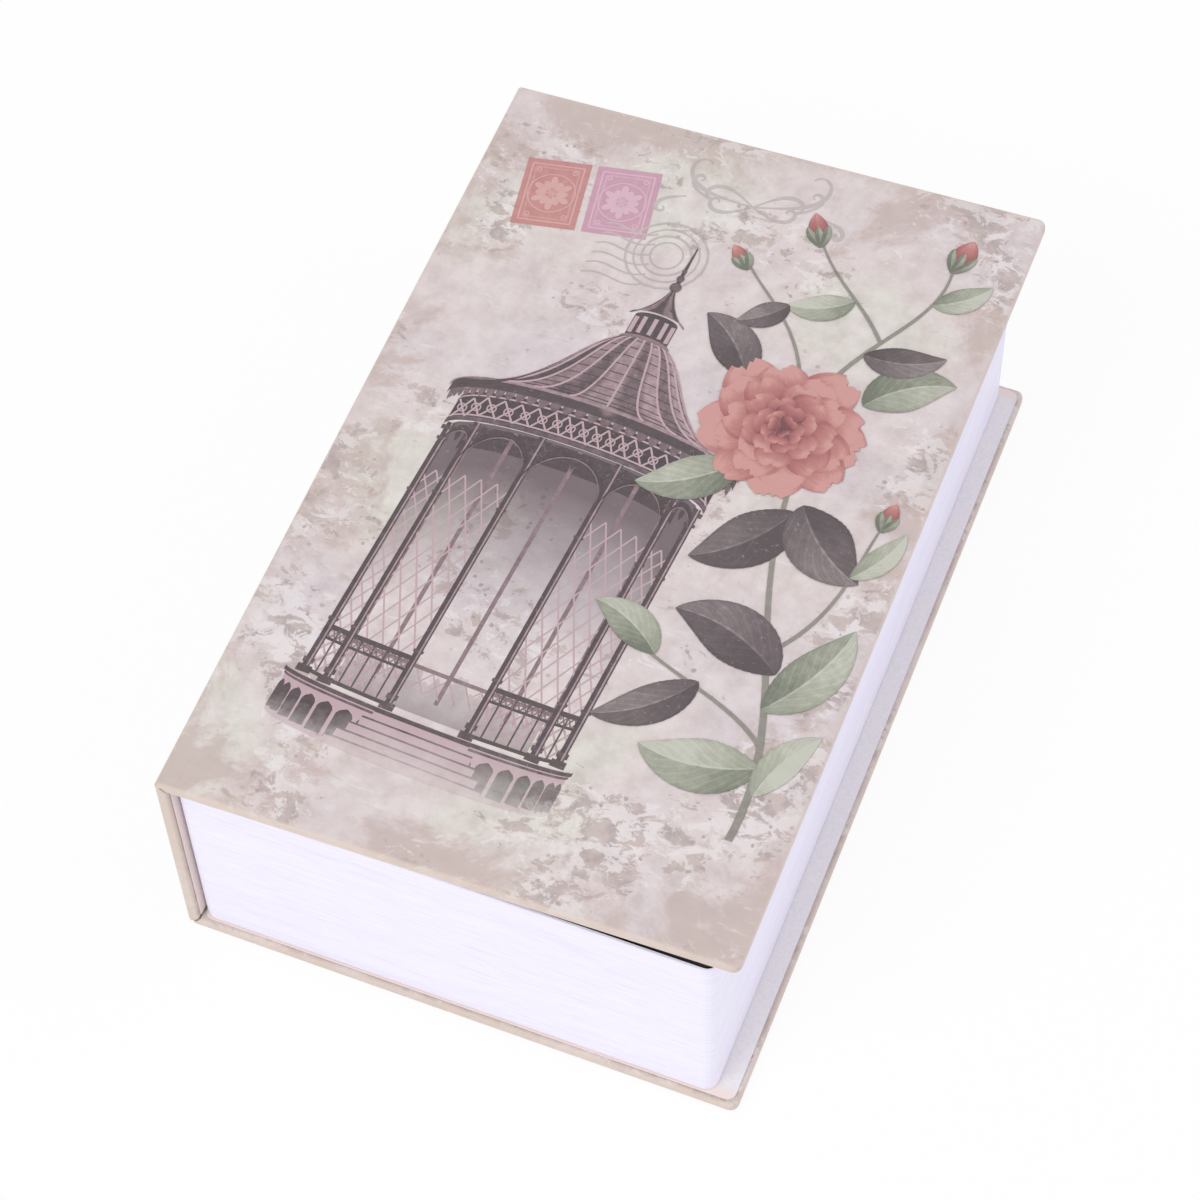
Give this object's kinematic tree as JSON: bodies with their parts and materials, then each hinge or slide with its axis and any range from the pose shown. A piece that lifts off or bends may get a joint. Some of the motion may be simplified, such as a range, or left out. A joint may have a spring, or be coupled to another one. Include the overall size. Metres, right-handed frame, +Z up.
{
  "type": "book diversion safe",
  "caption": "Book-shaped cash box: a paper-covered case with a hinged front cover and spine round a page block that holds a steel tray with a hinged lid and a wheel combination lock.",
  "frame": {"origin": "centre of the footprint, on the underside of the back board", "axes": "+X from the spine to the fore-edge, +Y from the tail to the head, +Z up through the closed book"},
  "size_m": [0.116, 0.18, 0.0618],
  "materials": {
    "printed_paper": "matt printed paper over greyboard",
    "liner_paper": "uncoated",
    "page_plastic": "moulded with fine page lines",
    "black_steel": "powder coated",
    "zinc_steel": "zinc plated",
    "black_plastic": "moulded, fine texture",
    "wheel_plastic": "moulded, white numbers",
    "mat_foam": "felt"
  },
  "bodies": {
    "book_base": {"back_board": "printed_paper", "back_endpaper": "liner_paper", "page_block": "page_plastic", "tray": "black_steel", "tray_mat": "mat_foam", "hinge_leaf": "black_steel", "hinge_pin": "zinc_steel", "keeper": "zinc_steel", "keeper_rivet_1": "zinc_steel", "keeper_rivet_2": "zinc_steel"},
    "spine": {"spine_board": "printed_paper", "spine_lining": "liner_paper"},
    "front_cover": {"front_board": "printed_paper", "front_endpaper": "liner_paper"},
    "lid": {"lid_plate": "black_steel", "lock_bezel": "black_plastic", "lock_case": "black_plastic", "wheel_shaft": "zinc_steel", "detent_spring": "zinc_steel", "latch_guide": "zinc_steel", "lock_screw_1": "zinc_steel", "lock_screw_2": "zinc_steel", "lock_screw_3": "zinc_steel", "lock_screw_4": "zinc_steel"},
    "wheel_1": {"number_wheel_1": "wheel_plastic"},
    "wheel_2": {"number_wheel_2": "wheel_plastic"},
    "wheel_3": {"number_wheel_3": "wheel_plastic"},
    "latch": {"slider_button": "black_plastic", "latch_hook": "zinc_steel", "latch_rivet": "zinc_steel"}
  },
  "joints": [
    {"name": "spine_hinge", "type": "hinge", "parent": "book_base", "child": "spine", "pos_m": [-0.05712, 0, 0.00088], "axis": [0, -1, 0], "range_deg": [0, 90]},
    {"name": "cover_hinge", "type": "hinge", "parent": "spine", "child": "front_cover", "pos_m": [-0.05765, 0, 0.05585], "axis": [0, -1, 0], "range_deg": [0, 177]},
    {"name": "lid_hinge", "type": "hinge", "parent": "book_base", "child": "lid", "pos_m": [-0.04957, 0, 0.05177], "axis": [0, -1, 0], "range_deg": [0, 97]},
    {"name": "wheel_1_turn", "type": "hinge", "parent": "lid", "child": "wheel_1", "pos_m": [0.0361, -0.018, 0.0497], "axis": [0, 1, 0], "continuous": true},
    {"name": "wheel_2_turn", "type": "hinge", "parent": "lid", "child": "wheel_2", "pos_m": [0.0361, -0.01, 0.0497], "axis": [0, 1, 0], "continuous": true},
    {"name": "wheel_3_turn", "type": "hinge", "parent": "lid", "child": "wheel_3", "pos_m": [0.0361, -0.002, 0.0497], "axis": [0, 1, 0], "continuous": true},
    {"name": "latch_slide", "type": "slide", "parent": "lid", "child": "latch", "axis": [0, 1, 0], "range_m": [0, 0.007]}
  ],
  "couplings": [
    {"joint": "cover_hinge", "follows": "lid_hinge", "ratio": 1.82}
  ]
}
